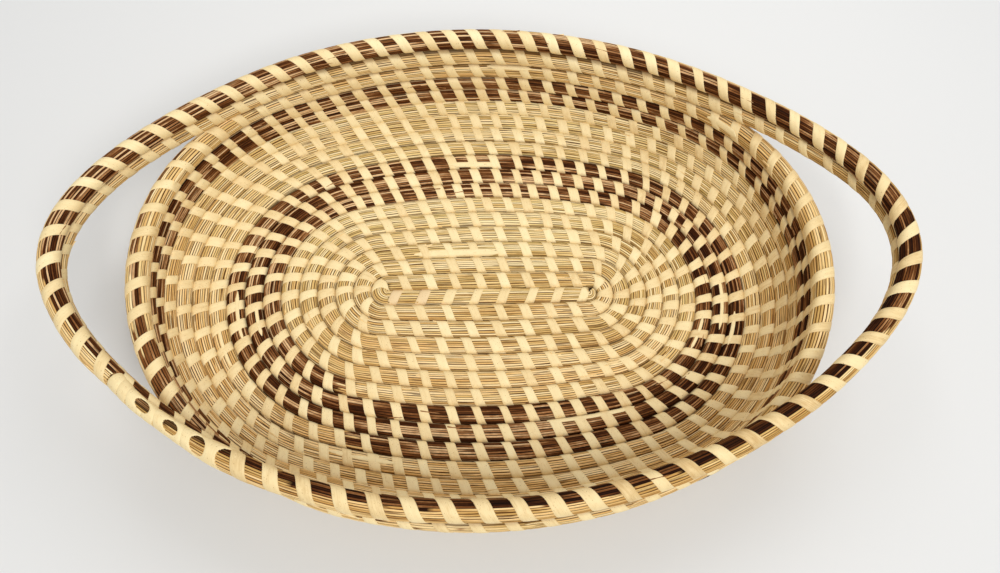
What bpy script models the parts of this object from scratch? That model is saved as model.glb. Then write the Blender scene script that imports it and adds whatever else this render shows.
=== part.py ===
# Coiled oval tray basket with two open loop handles, in sweetgrass and pine needle bundles.
# One coil winds from the straight start in the middle out over the base, up the wall and
# round the rim, where its last turns bow away from the body as the handles.
# Metres, +Z up, +X along the length, origin on the floor under the middle of the basket.
import math

import bmesh
import bpy
import numpy as np

MM = 0.001

# The coil and how its turns lie beside each other
COIL_DIAMETER = 7.5 * MM
TURN_GAP = 0.5 * MM
LEAST_GAP = 0.4 * MM
START_LENGTH = 93.0 * MM
END_SPREAD_PER_TURN = 0.59 * MM
SIDE_GAIN_PER_TURN = 0.15 * MM
LEFT_DRIFT_PER_TURN = 0.27 * MM

# The wall, by how many turns lie flat before it starts to rise
FLAT_TURNS_AT_SIDES = 10.7
FLAT_TURNS_AT_ENDS = 8.85
UPRIGHT_FROM_TURN = 13.95
SIDE_LEAN = math.radians(83.0)
LEFT_LEAN = math.radians(88.0)
RIGHT_LEAN = math.radians(85.5)

# The thick rim coil, the handles and the tapered tail
RIM_TO_COIL_SHARE = 1.187
LEFT_REACH = 28.8 * MM
RIGHT_REACH = 27.1 * MM
LEFT_RISE = 0.5 * MM
RIGHT_RISE = 5.8 * MM
HANDLE_FROM_SHARE = 0.363
HANDLE_BOW_POWER = 1.314
HANDLE_TUCK_SHARE = 0.152
LEFT_SHIFT_TO_FRONT = 3.0 * MM
RIGHT_SHIFT_TO_FRONT = 1.5 * MM
TAIL_TIP_DIAMETER = 3.0 * MM

# Turns from the left end to where each length starts: a quarter more is at the back, a
# half more at the right end and three quarters more at the front
START_TURN = -0.46
TURNS_TO_LOWER_BAND = 5.85
TURNS_TO_WALL = 8.85
TURNS_TO_UPPER_BAND = 12.85
TURNS_TO_BODY_RIM = 14.98
TURNS_TO_HANDLE_ROUND = 15.85
TURNS_TO_RIM_ROUND = 16.85
RIM_SWELL_TURNS = 0.06
TURNS_TO_TAIL = 17.82
TURNS_TO_TAIL_END = 17.895
LEFT_HANDLE_SHARE = 0.30
BACK_SHARE = 0.25
RIGHT_HANDLE_SHARE = 0.22

# Drawing of the curve
POINTS_PER_TURN = 24
SIDE_ARC_SHARE = 0.375
CORD_SIDES_RESOLUTION = 1
JOINT_GAP = 0.3 * MM
FOOT_CUT_SHARE = 0.1
WELD_SHARE = 0.01
SHORT_STEP_SHARE = 0.1
SHARP_EDGE = math.radians(70.0)

COIL_RADIUS = COIL_DIAMETER / 2
RIM_RADIUS = COIL_RADIUS * RIM_TO_COIL_SHARE
TAIL_TIP_RADIUS = TAIL_TIP_DIAMETER / 2
TURN_PITCH = COIL_DIAMETER + TURN_GAP
FOOT_CUT = COIL_DIAMETER * FOOT_CUT_SHARE
BASE_HEIGHT = COIL_RADIUS - FOOT_CUT
TURNS_TO_OPEN_HANDLES = TURNS_TO_HANDLE_ROUND - (TURNS_TO_HANDLE_ROUND % 1 - 0.75)
TURNS_TO_BODY_ROUND = TURNS_TO_OPEN_HANDLES - 1

# Colour, roughness
SWEETGRASS = ((0.47, 0.27, 0.10, 1.0), 0.62)
GREEN_SWEETGRASS = ((0.40, 0.28, 0.11, 1.0), 0.62)
PINE_NEEDLE = ((0.075, 0.030, 0.016, 1.0), 0.48)
MIXED_RIM = ((0.20, 0.095, 0.040, 1.0), 0.52)
PALMETTO = ((0.68, 0.50, 0.27, 1.0), 0.55)


def clear_scene():
    for old in list(bpy.data.objects):
        bpy.data.objects.remove(old, do_unlink=True)


def smooth(share):
    # Three squares less two cubes, from zero to one
    share = np.clip(share, 0.0, 1.0)
    return share * share * (3 - 2 * share)


def oval_angle(turn, tangent):
    # Direction that the row faces, even in steps within the end arcs and within the side arcs
    round_angle = np.mod(math.pi - 2 * math.pi * turn + math.pi, 2 * math.pi) - math.pi
    size = np.abs(round_angle)
    right = size <= math.pi / 2
    folded = np.where(right, size, math.pi - size)
    end_part = math.pi / 2 * (1 - SIDE_ARC_SHARE)
    on_end = folded / end_part * tangent
    side_share = (folded - end_part) / (math.pi / 2 - end_part)
    on_side = tangent + side_share * (math.pi / 2 - tangent)
    facing = np.where(folded < end_part, on_end, on_side)
    facing = np.where(right, facing, math.pi - facing)
    return np.where(round_angle >= 0, facing, -facing), right


def handle_bow(facing):
    # Zero along the sides, rising to one at the middle of each end
    share = (np.abs(np.cos(facing)) - HANDLE_FROM_SHARE) / (1 - HANDLE_FROM_SHARE)
    return np.clip(share, 0.0, 1.0) ** HANDLE_BOW_POWER


def rim_radius(turn):
    # Thin lower coil, thick rim coil, then the taper of the tail
    swell = smooth((turn - TURNS_TO_RIM_ROUND) / RIM_SWELL_TURNS)
    taper = smooth((turn - TURNS_TO_TAIL) / (TURNS_TO_TAIL_END - TURNS_TO_TAIL))
    radius = COIL_RADIUS + swell * (RIM_RADIUS - COIL_RADIUS)
    return radius + taper * (TAIL_TIP_RADIUS - radius)


def coil_line(turn):
    # Two-centre ovals, each a turn wider than the last, bent up into a wall at their edge
    turn = np.asarray(turn, dtype=float)
    rounds = turn + 0.5
    centre = START_LENGTH / 2 + END_SPREAD_PER_TURN * rounds
    crown = (SIDE_GAIN_PER_TURN + END_SPREAD_PER_TURN) * rounds
    side_centre = (centre**2 - crown**2) / (2 * crown)
    tangent = np.arctan2(side_centre, centre)
    facing, right = oval_angle(turn, tangent)
    side = np.sin(facing) ** 2
    lean = SIDE_LEAN * side + np.where(right, RIGHT_LEAN, LEFT_LEAN) * (1 - side)
    flat_turns = FLAT_TURNS_AT_SIDES * side + FLAT_TURNS_AT_ENDS * (1 - side)
    bend_radius = TURN_PITCH * (UPRIGHT_FROM_TURN - flat_turns) / lean
    bent = np.clip((rounds - flat_turns) / (UPRIGHT_FROM_TURN - flat_turns), 0.0, 1.0) * lean

    bow = handle_bow(facing)
    on_body_rim = (turn > TURNS_TO_BODY_ROUND) & (turn <= TURNS_TO_OPEN_HANDLES)
    thicker = np.where(on_body_rim, bow * (RIM_RADIUS - COIL_RADIUS), 0.0)
    radius = rim_radius(turn) + thicker
    stacked = rim_radius(turn) - COIL_RADIUS + 2 * (rim_radius(turn - 1) - COIL_RADIUS)
    upright = TURN_PITCH * np.maximum(rounds - UPRIGHT_FROM_TURN, 0.0) + stacked + thicker

    outward = TURN_PITCH * np.minimum(rounds, flat_turns) + bend_radius * np.sin(bent)
    outward = outward + upright * np.cos(lean) - END_SPREAD_PER_TURN * rounds
    height = bend_radius * (1 - np.cos(bent)) + upright * np.sin(lean)

    end_way = np.where(right, 1.0, -1.0)
    side_way = np.sign(np.sin(facing))
    side_radius = outward + np.hypot(centre, side_centre)
    on_end = np.abs(np.sin(facing)) <= np.sin(tangent)
    x_end = end_way * centre + outward * np.cos(facing)
    x_side = side_radius * np.cos(facing)
    y_end = outward * np.sin(facing)
    y_side = side_radius * np.sin(facing) - side_way * side_centre
    x = np.where(on_end, x_end, x_side) - LEFT_DRIFT_PER_TURN * rounds
    y = np.where(on_end, y_end, y_side)

    open_bow = np.where(turn > TURNS_TO_OPEN_HANDLES, bow, 0.0)
    x = x + end_way * np.where(right, RIGHT_REACH, LEFT_REACH) * open_bow
    y = y * (1 - HANDLE_TUCK_SHARE * open_bow)
    y = y - np.where(right, RIGHT_SHIFT_TO_FRONT, LEFT_SHIFT_TO_FRONT) * open_bow
    height = height + np.where(right, RIGHT_RISE, LEFT_RISE) * open_bow
    return np.stack([x, y, height + BASE_HEIGHT], axis=-1), radius


def distance_to_segments(points, starts, ends):
    # Distance from every point to every straight piece, as a table
    along = ends - starts
    offset = points[:, None, :] - starts[None, :, :]
    share = np.sum(offset * along, axis=2) / np.sum(along * along, axis=1)
    nearest = starts + np.clip(share, 0.0, 1.0)[:, :, None] * along
    return np.linalg.norm(points[:, None, :] - nearest, axis=2)


def turn_distances(turns, points):
    # Distances between turns only: pieces less than half a turn away along the coil are left out
    table = distance_to_segments(points, points[:-1], points[1:])
    middle = (turns[:-1] + turns[1:]) / 2
    same_turn = np.abs(turns[:, None] - middle[None, :]) < 0.5
    return np.where(same_turn, np.inf, table)


class Coil:
    # The whole coil once, so that every length of it lies on the same line
    def __init__(self):
        first = math.ceil(START_TURN * POINTS_PER_TURN)
        last = math.floor(TURNS_TO_TAIL_END * POINTS_PER_TURN)
        inner = np.arange(first, last + 1) / POINTS_PER_TURN
        self.turns = np.unique(np.concatenate([[START_TURN], inner, [TURNS_TO_TAIL_END]]))
        points, radius = coil_line(self.turns)
        table = turn_distances(self.turns, points)
        both = radius[:, None] + (radius[:-1] + radius[1:])[None, :] / 2
        packed_share = np.minimum(1.0, np.min((table - TURN_GAP) / both, axis=1))
        reach = (radius * packed_share)[:, None]
        low = np.min(points - reach, axis=0)
        high = np.max(points + reach, axis=0)
        middle = np.array([(low[0] + high[0]) / 2, (low[1] + high[1]) / 2, 0.0])
        self.points = points - middle
        self.radius = radius * packed_share
        self.least_gap = np.min(table - both * packed_share[:, None])

    def at(self, turns):
        # On the straight steps of the drawn coil, so that lengths cut from it still nest
        points = np.column_stack([np.interp(turns, self.turns, axis) for axis in self.points.T])
        return points, np.interp(turns, self.turns, self.radius)

    def turns_for(self, turn, length):
        # How much of a turn a short length takes at a place on the coil
        step = SHORT_STEP_SHARE / POINTS_PER_TURN
        ends, _ = self.at(np.array([turn, turn + step]))
        return length * step / np.linalg.norm(ends[1] - ends[0])

    def length(self, first, last):
        points, _ = self.at(cut_turns(self, first, last))
        return np.sum(np.linalg.norm(np.diff(points, axis=0), axis=1))


def make_material(name, finish):
    colour, roughness = finish
    material = bpy.data.materials.new(name)
    material.use_nodes = True
    shader = material.node_tree.nodes["Principled BSDF"]
    shader.inputs["Base Color"].default_value = colour
    shader.inputs["Roughness"].default_value = roughness
    shader.inputs["Metallic"].default_value = 0.0
    material.diffuse_color = colour
    return material


def make_cord(name, points, radius, finish, collection):
    # A round cord as a curve with filled ends, made a mesh with its end caps welded on
    curve = bpy.data.curves.new(name, "CURVE")
    curve.dimensions = "3D"
    curve.bevel_depth = 1.0
    curve.bevel_resolution = CORD_SIDES_RESOLUTION
    curve.render_resolution_u = 0
    curve.use_fill_caps = True
    spline = curve.splines.new("POLY")
    spline.points.add(len(points) - 1)
    spline.points.foreach_set("co", np.column_stack([points, np.ones(len(points))]).ravel())
    spline.points.foreach_set("radius", radius)
    cord = bpy.data.objects.new(name, curve)
    collection.objects.link(cord)
    bpy.context.view_layer.update()

    evaluated = cord.evaluated_get(bpy.context.evaluated_depsgraph_get())
    mesh = bpy.data.meshes.new_from_object(evaluated)
    solid = bpy.data.objects.new(name + "_solid", mesh)
    solid.matrix_world = cord.matrix_world
    bpy.data.objects.remove(cord, do_unlink=True)
    bpy.data.curves.remove(curve)
    solid.name = name
    weld_caps(mesh)
    mesh.shade_smooth()
    mesh.set_sharp_from_angle(angle=SHARP_EDGE)
    mesh.materials.clear()
    mesh.materials.append(make_material(name + "_finish", finish))
    collection.objects.link(solid)
    return solid


def weld_caps(mesh):
    work = bmesh.new()
    work.from_mesh(mesh)
    bmesh.ops.remove_doubles(work, verts=work.verts, dist=JOINT_GAP * WELD_SHARE)
    work.to_mesh(mesh)
    work.free()


def stand_flat(cord, cutter):
    cut = cord.modifiers.new("flat_underside", "BOOLEAN")
    cut.operation = "DIFFERENCE"
    cut.object = cutter


def make_floor_cutter(coil, collection):
    # A slab below the floor, wider than the basket, that trims the undersides of the base turns
    span = 2 * np.max(np.abs(coil.points) + coil.radius[:, None])
    depth = COIL_DIAMETER
    bpy.ops.mesh.primitive_cube_add(size=1.0, location=(0.0, 0.0, -depth / 2))
    cutter = bpy.context.object
    cutter.name = "floor_cutter"
    cutter.scale = (span, span, depth)
    cutter.hide_render = True
    cutter.display_type = "WIRE"
    for holder in list(cutter.users_collection):
        holder.objects.unlink(cutter)
    collection.objects.link(cutter)
    return cutter


def coil_lengths():
    # Name, first turn, last turn, finish and whether it stands on the floor, in winding order
    handle_ends = TURNS_TO_HANDLE_ROUND + np.cumsum([LEFT_HANDLE_SHARE, BACK_SHARE, RIGHT_HANDLE_SHARE])
    rim_ends = handle_ends + 1
    return [
        ("base_sweetgrass_coil", START_TURN, TURNS_TO_LOWER_BAND, GREEN_SWEETGRASS, True),
        ("lower_pine_band", TURNS_TO_LOWER_BAND, TURNS_TO_WALL, PINE_NEEDLE, True),
        ("wall_sweetgrass_coil", TURNS_TO_WALL, TURNS_TO_UPPER_BAND, SWEETGRASS, True),
        ("upper_pine_band", TURNS_TO_UPPER_BAND, TURNS_TO_BODY_RIM, PINE_NEEDLE, False),
        ("body_rim_coil", TURNS_TO_BODY_RIM, TURNS_TO_HANDLE_ROUND, SWEETGRASS, False),
        ("left_lower_handle_coil", TURNS_TO_HANDLE_ROUND, handle_ends[0], SWEETGRASS, False),
        ("back_lower_rim_coil", handle_ends[0], handle_ends[1], SWEETGRASS, False),
        ("right_lower_handle_coil", handle_ends[1], handle_ends[2], SWEETGRASS, False),
        ("front_lower_rim_coil", handle_ends[2], TURNS_TO_RIM_ROUND, SWEETGRASS, False),
        ("left_handle_coil", TURNS_TO_RIM_ROUND, rim_ends[0], MIXED_RIM, False),
        ("back_rim_coil", rim_ends[0], rim_ends[1], MIXED_RIM, False),
        ("right_handle_coil", rim_ends[1], rim_ends[2], MIXED_RIM, False),
        ("front_rim_coil", rim_ends[2], TURNS_TO_TAIL, MIXED_RIM, False),
        ("palmetto_wrapped_tail", TURNS_TO_TAIL, TURNS_TO_TAIL_END, PALMETTO, False),
    ]


def mid_step(turn):
    # The middle of the straight step that holds a turn number, where a cut is square and clean
    return (math.floor(turn * POINTS_PER_TURN) + 0.5) / POINTS_PER_TURN


def cut_turns(coil, first, last):
    # The two ends of one length, with the coil's own points between them
    start = first if first == START_TURN else mid_step(first)
    end = last if last == TURNS_TO_TAIL_END else mid_step(last)
    if first != START_TURN:
        start += coil.turns_for(start, JOINT_GAP)
    inner = coil.turns[(coil.turns > start) & (coil.turns < end)]
    return np.concatenate([[start], inner, [end]])


def build():
    clear_scene()
    parts = bpy.data.collections.new("coiled_sweetgrass_basket")
    cutters = bpy.data.collections.new("cutters")
    bpy.context.scene.collection.children.link(parts)
    bpy.context.scene.collection.children.link(cutters)
    coil = Coil()
    cutter = make_floor_cutter(coil, cutters)
    for name, first, last, finish, on_floor in coil_lengths():
        points, radius = coil.at(cut_turns(coil, first, last))
        cord = make_cord(name, points, radius, finish, parts)
        if on_floor:
            stand_flat(cord, cutter)
        print(f"{name}: {coil.length(first, last):.3f} m of coil")
    print(f"least gap between turns {coil.least_gap / MM:.2f} mm, wanted {LEAST_GAP / MM:.2f} mm")


build()
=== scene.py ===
import math

import bpy
import numpy as np
from mathutils import Matrix, Vector


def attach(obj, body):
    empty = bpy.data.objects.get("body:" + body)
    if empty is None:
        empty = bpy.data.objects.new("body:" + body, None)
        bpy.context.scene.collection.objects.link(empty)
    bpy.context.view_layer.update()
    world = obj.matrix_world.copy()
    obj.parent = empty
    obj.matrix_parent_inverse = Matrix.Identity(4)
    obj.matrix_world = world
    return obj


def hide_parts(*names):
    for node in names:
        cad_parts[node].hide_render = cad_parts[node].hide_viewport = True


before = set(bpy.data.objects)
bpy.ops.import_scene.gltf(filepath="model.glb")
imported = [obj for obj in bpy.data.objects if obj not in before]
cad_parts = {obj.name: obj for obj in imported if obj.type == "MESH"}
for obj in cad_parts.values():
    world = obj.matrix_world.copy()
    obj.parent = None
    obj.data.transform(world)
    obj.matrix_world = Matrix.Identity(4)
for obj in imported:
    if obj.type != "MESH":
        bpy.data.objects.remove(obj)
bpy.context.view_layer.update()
print("frame loaded:", len(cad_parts), "coil lengths")

mm = 0.001
dice = np.random.default_rng(1907)

# The coil as the frame has it: lengths in metres, places in turns, counted from the left end
coil = {
    "diameter": 7.5 * mm, "gap": 0.5 * mm, "start": 93.0 * mm, "endSpread": 0.59 * mm,
    "sideGain": 0.15 * mm, "leftDrift": 0.27 * mm, "flatSides": 10.7, "flatEnds": 8.85,
    "uprightFrom": 13.95, "sideLean": math.radians(83.0), "leftLean": math.radians(88.0),
    "rightLean": math.radians(85.5), "rimShare": 1.187, "leftReach": 28.8 * mm,
    "rightReach": 27.1 * mm, "leftRise": 0.5 * mm, "rightRise": 5.8 * mm, "bowFrom": 0.363,
    "bowPower": 1.314, "tuck": 0.152, "leftShift": 3.0 * mm, "rightShift": 1.5 * mm,
    "tailTip": 3.0 * mm, "startTurn": -0.46, "openHandles": 15.75, "rimTurn": 16.85,
    "rimSwell": 0.06, "tailTurn": 17.82, "tailEnd": 17.895, "wrapEnd": 17.899, "sideArc": 0.375,
    "steps": 24, "flatPart": 10,
}
coil["radius"] = coil["diameter"] / 2
coil["rimRadius"] = coil["radius"] * coil["rimShare"]
coil["pitch"] = coil["diameter"] + coil["gap"]
coil["lift"] = coil["radius"] - coil["diameter"] / coil["flatPart"]


def smoothStep(share):
    # three squares less two cubes, from zero to one
    share = np.clip(share, 0.0, 1.0)
    return share * share * (3 - 2 * share)


def ovalAngle(turn, tangent):
    # direction a row faces: even steps in the end arcs and even steps in the side arcs
    roundAngle = np.mod(math.pi - 2 * math.pi * turn + math.pi, 2 * math.pi) - math.pi
    size = np.abs(roundAngle)
    right = size <= math.pi / 2
    folded = np.where(right, size, math.pi - size)
    endPart = math.pi / 2 * (1 - coil["sideArc"])
    onSide = tangent + (folded - endPart) / (math.pi / 2 - endPart) * (math.pi / 2 - tangent)
    facing = np.where(folded < endPart, folded / endPart * tangent, onSide)
    facing = np.where(right, facing, math.pi - facing)
    return np.where(roundAngle >= 0, facing, -facing), right


def rimRadius(turn):
    # thin coil, thick rim coil, then the taper of the tail
    swell = smoothStep((turn - coil["rimTurn"]) / coil["rimSwell"])
    taper = smoothStep((turn - coil["tailTurn"]) / (coil["tailEnd"] - coil["tailTurn"]))
    radius = coil["radius"] + swell * (coil["rimRadius"] - coil["radius"])
    return radius + taper * (coil["tailTip"] / 2 - radius)


def coilLine(turn):
    # two-centre ovals that grow a pitch a turn and bend up into the wall, as points, radius,
    # the angle that the wall has there and how much the row faces a side
    rounds = turn + 0.5
    centre = coil["start"] / 2 + coil["endSpread"] * rounds
    crown = (coil["sideGain"] + coil["endSpread"]) * rounds
    sideCentre = (centre**2 - crown**2) / (2 * crown)
    tangent = np.arctan2(sideCentre, centre)
    facing, right = ovalAngle(turn, tangent)
    side = np.sin(facing) ** 2
    endLean = np.where(right, coil["rightLean"], coil["leftLean"])
    lean = coil["sideLean"] * side + endLean * (1 - side)
    flat = coil["flatSides"] * side + coil["flatEnds"] * (1 - side)
    bendRadius = coil["pitch"] * (coil["uprightFrom"] - flat) / lean
    bent = np.clip((rounds - flat) / (coil["uprightFrom"] - flat), 0.0, 1.0) * lean
    bow = (np.abs(np.cos(facing)) - coil["bowFrom"]) / (1 - coil["bowFrom"])
    bow = np.clip(bow, 0.0, 1.0) ** coil["bowPower"]
    onBodyRim = (turn > coil["openHandles"] - 1) & (turn <= coil["openHandles"])
    thicker = np.where(onBodyRim, bow * (coil["rimRadius"] - coil["radius"]), 0.0)
    stacked = rimRadius(turn) - coil["radius"] + 2 * (rimRadius(turn - 1) - coil["radius"])
    upright = coil["pitch"] * np.maximum(rounds - coil["uprightFrom"], 0.0) + stacked + thicker
    outward = coil["pitch"] * np.minimum(rounds, flat) + bendRadius * np.sin(bent)
    outward = outward + upright * np.cos(lean) - coil["endSpread"] * rounds
    height = bendRadius * (1 - np.cos(bent)) + upright * np.sin(lean)
    endWay = np.where(right, 1.0, -1.0)
    sideRadius = outward + np.hypot(centre, sideCentre)
    onEnd = np.abs(np.sin(facing)) <= np.sin(tangent)
    x = np.where(onEnd, endWay * centre + outward * np.cos(facing), sideRadius * np.cos(facing))
    ySide = sideRadius * np.sin(facing) - np.sign(np.sin(facing)) * sideCentre
    y = np.where(onEnd, outward * np.sin(facing), ySide)
    openBow = np.where(turn > coil["openHandles"], bow, 0.0)
    reach = np.where(right, coil["rightReach"], coil["leftReach"])
    x = x - coil["leftDrift"] * rounds + endWay * reach * openBow
    y = y * (1 - coil["tuck"] * openBow)
    y = y - np.where(right, coil["rightShift"], coil["leftShift"]) * openBow
    height = height + np.where(right, coil["rightRise"], coil["leftRise"]) * openBow
    points = np.stack([x, y, height + coil["lift"]], axis=-1)
    return points, rimRadius(turn) + thicker, bent, np.abs(np.sin(facing))


def nestedRadius(turns, points, radius):
    # each radius times the share that still clears the turns beside it
    along = points[1:] - points[:-1]
    offset = points[:, None, :] - points[None, :-1, :]
    share = np.clip(np.sum(offset * along, axis=2) / np.sum(along * along, axis=1), 0.0, 1.0)
    apart = np.linalg.norm(offset - share[:, :, None] * along, axis=2)
    sameTurn = np.abs(turns[:, None] - (turns[:-1] + turns[1:])[None, :] / 2) < 0.5
    both = radius[:, None] + (radius[:-1] + radius[1:])[None, :] / 2
    apart = np.where(sameTurn, np.inf, apart)
    return radius * np.minimum(1.0, np.min((apart - coil["gap"]) / both, axis=1))


def unit(vectors):
    # each vector divided by its length
    return vectors / np.linalg.norm(vectors, axis=-1, keepdims=True)


def eased(at, places, values):
    # a table read with an eased step from each of its places to the next
    places, values = np.array(places), np.array(values)
    first = np.clip(np.searchsorted(places, at) - 1, 0, len(places) - 2)
    share = smoothStep((at - places[first]) / (places[first + 1] - places[first]))
    return values[first] * (1 - share) + values[first + 1] * share


# How the sewn rows sit out (or in, below nought) from their even curve, in millimetres
settle = {
    "turns": [15.66, 15.72, 15.80, 15.90, 15.99, 16.06, 16.14, 16.40, 16.47, 16.55, 16.60, 16.655,
              16.71, 16.76, 16.80, 16.84, 16.87, 16.92, 16.96, 17.04, 17.13, 17.18, 17.28, 17.33,
              17.38, 17.47, 17.55, 17.61, 17.66, 17.75, 17.80, 17.83, 17.845, 17.865, 17.885,
              17.895],
    "out": [0.0, 1.3, 1.4, 0.0, 0.9, 0.8, 0.0, 0.0, 2.0, 2.1, 1.0, 0.4,
            2.4, 3.2, 3.3, 0.6, -0.5, 0.4, 0.0, -0.3, -0.1, 1.1, 1.2, 1.7,
            0.6, 0.3, 1.5, 0.6, -0.5, -0.6, 1.3, 2.0, 1.95, 1.9, 2.5,
            2.2],
}

# Where the end of the coil is bound down on the turn below: how far the wrapped bundle leans
# to that turn and its radius in millimetres, by turn
binding = {
    "turns": [17.82, 17.83, 17.84, 17.85, 17.86, 17.87, 17.88, 17.885, 17.89, 17.895, 17.899],
    "toBelow": [0.0, 0.0, 0.0, 0.03, 0.06, 0.12, 0.26, 0.37, 0.51, 0.68, 0.86],
    "radius": [4.4, 4.45, 4.4, 3.75, 3.35, 3.2, 3.15, 3.2, 3.3, 3.5, 3.7],
}

# The line itself, finely sampled, with the way the basket grows and the inside face's normal
line = {"perTurn": 1200, "closeShare": 3.0, "closeOver": 2 * mm}
coarse = np.arange(math.ceil(coil["startTurn"] * coil["steps"]), coil["tailEnd"] * coil["steps"])
coarse = np.concatenate([[coil["startTurn"]], coarse / coil["steps"], [coil["tailEnd"]]])
coarsePoints, coarseRadius, _, _ = coilLine(coarse)
coarseRadius = nestedRadius(coarse, coarsePoints, coarseRadius)
reach = coarseRadius[:, None]
middle = (np.min(coarsePoints - reach, axis=0) + np.max(coarsePoints + reach, axis=0)) / 2
middle[2] = 0.0
sampled = int((coil["wrapEnd"] - coil["startTurn"]) * line["perTurn"])
line["turn"] = np.linspace(coil["startTurn"], coil["wrapEnd"], sampled)
finePoints, _, fineBent, line["side"] = coilLine(line["turn"])
outwards = unit(np.cross([0.0, 0.0, 1.0], np.gradient(finePoints, axis=0)))
moved = eased(line["turn"], settle["turns"], settle["out"])[:, None] * mm
finePoints = finePoints - middle + moved * outwards
below = [np.interp(line["turn"] - 1, line["turn"], axis) for axis in finePoints.T]
toBelow = np.interp(line["turn"], binding["turns"], binding["toBelow"])[:, None]
line["point"] = finePoints + toBelow * (np.stack(below, axis=-1) - finePoints)
bareRadius = np.interp(line["turn"], coarse, coarseRadius)
boundRadius = np.interp(line["turn"], binding["turns"], binding["radius"]) * mm
line["radius"] = np.where(line["turn"] > binding["turns"][0], boundRadius, bareRadius)
apart = np.linalg.norm(np.diff(line["point"], axis=0), axis=1)
line["place"] = np.concatenate([[0.0], np.cumsum(apart)])
tangent = unit(np.gradient(line["point"], axis=0))
outwards = unit(np.cross([0.0, 0.0, 1.0], tangent))
upwards = np.cross(tangent, outwards)
cosBent, sinBent = np.cos(fineBent)[:, None], np.sin(fineBent)[:, None]
line["grow"] = cosBent * outwards + sinBent * upwards
line["face"] = cosBent * upwards - sinBent * outwards
turning = np.arccos(np.clip(np.sum(tangent[1:] * tangent[:-1], axis=1), -1, 1))
turning = np.concatenate([[0.0], turning])
for key, rowAway in (("rowBefore", -1), ("rowAfter", 1)):  # one where that row lies close by
    beside = [np.interp(line["turn"] + rowAway, line["turn"], axis) for axis in line["point"].T]
    apart = np.linalg.norm(np.stack(beside, axis=-1) - line["point"], axis=1)
    sewn = line["turn"] + rowAway < coil["tailTurn"]
    close = line["closeShare"] - (apart - coil["pitch"]) / line["closeOver"]
    line[key] = np.clip(close, 0.0, 1.0) * sewn
print(f"coil line: {line['place'][-1]:.3f} m")


def placeOf(turn):
    # length of coil before a turn number
    return np.interp(turn, line["turn"], line["place"])


def onLine(place, key):
    # a value or vector of the line at a length along it
    values = line[key]
    if values.ndim == 1:
        return np.interp(place, line["place"], values)
    return np.stack([np.interp(place, line["place"], axis) for axis in values.T], axis=-1)


# The section: squarer where rows press on each other, round where the coil runs free, and the
# rim's bundle drawn a little tighter; touch and tight are in millimetres. The painted shade in
# the crease between two rows darkens from a share of the radius on, over another share of it, to
# its depth
section = {
    "turns": [13.0, 15.0, 16.5, 17.0], "power": [3.4, 2.8, 2.3, 2.0],
    "touch": [0.32, 0.3, 0.2, 0.0], "tight": [0.0, 0.0, 0.0, 0.15],
    "creaseShadeTurns": [5.0, 9.0, 12.0, 15.0, 16.5, 17.0],
    "creaseShadeFrom": [0.76, 0.74, 0.73, 0.73, 0.82, 0.9],
    "creaseShadeOver": [0.17, 0.17, 0.17, 0.17, 0.12, 0.1],
    "creaseShadeDepth": [0.55, 0.85, 1.0, 1.0, 0.9, 0.6],
}


def onCoil(place, angle, height, floor=0.0):
    # point at a length along the coil, an angle round it (nought towards the row before, a
    # quarter on the inside face) and a height over its surface, never under the floor
    turn = onLine(place, "turn")
    power = np.interp(turn, section["turns"], section["power"])
    across, over = np.abs(np.cos(angle)), np.abs(np.sin(angle))
    reach = onLine(place, "radius") * (across**power + over**power) ** (-1 / power)
    reach = reach + height - np.interp(turn, section["turns"], section["tight"]) * mm
    reach = reach + np.interp(turn, section["turns"], section["touch"]) * mm * across**4
    grow = -np.cos(angle)[..., None] * onLine(place, "grow")
    face = np.sin(angle)[..., None] * onLine(place, "face")
    points = onLine(place, "point") + reach[..., None] * (grow + face)
    points[..., 2] = np.maximum(points[..., 2], floor)
    return points


def creaseShadeShare(place, angle):
    # painted shade: nought on the open faces, deepest between two rows that lie close
    across = np.cos(angle)
    close = np.where(across > 0, onLine(place, "rowBefore"), onLine(place, "rowAfter"))
    start, over, depth = (np.interp(onLine(place, "turn"), section["creaseShadeTurns"], section[key])
                          for key in ("creaseShadeFrom", "creaseShadeOver", "creaseShadeDepth"))
    return close * depth * smoothStep((np.abs(across) - start) / over)


# Stitches: one turn of the palmetto strip each, set beside those of the row before; farthest
# and lost are in gaps, the end and side gaps in millimetres by round
sewing = {
    "first": 3.0 * mm, "farthest": 1.3, "lost": 4, "followed": 0.3, "wander": 0.5 * mm,
    "tried": 4, "lastTurn": 17.8343,
    "rounds": [0.0, 2.0, 4.0, 6.0, 8.0, 10.0, 12.0, 13.5, 18.5],
    "endGaps": [6.2, 7.6, 8.5, 9.6, 10.3, 11.0, 12.0, 12.6, 12.6],
    "sideGaps": [12.0, 12.2, 12.0, 10.6, 10.8, 11.4, 11.7, 11.7, 12.6],
    "frontMore": 0.05, "straightFrom": 0.62, "straightOver": 0.3, "evenFrom": 16.88,
}


def wantedGap(turn):
    # gap between stitches: narrow round the ends of the first rows, wider at the front
    side = np.interp(turn, line["turn"], line["side"])
    endGap = np.interp(turn + 0.5, sewing["rounds"], sewing["endGaps"])
    sideGap = np.interp(turn + 0.5, sewing["rounds"], sewing["sideGaps"])
    share = smoothStep((side - sewing["straightFrom"]) / sewing["straightOver"])
    front = 1 - sewing["frontMore"] * math.sin(2 * math.pi * turn)
    return (endGap + (sideGap - endGap) * share) * mm * front


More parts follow.
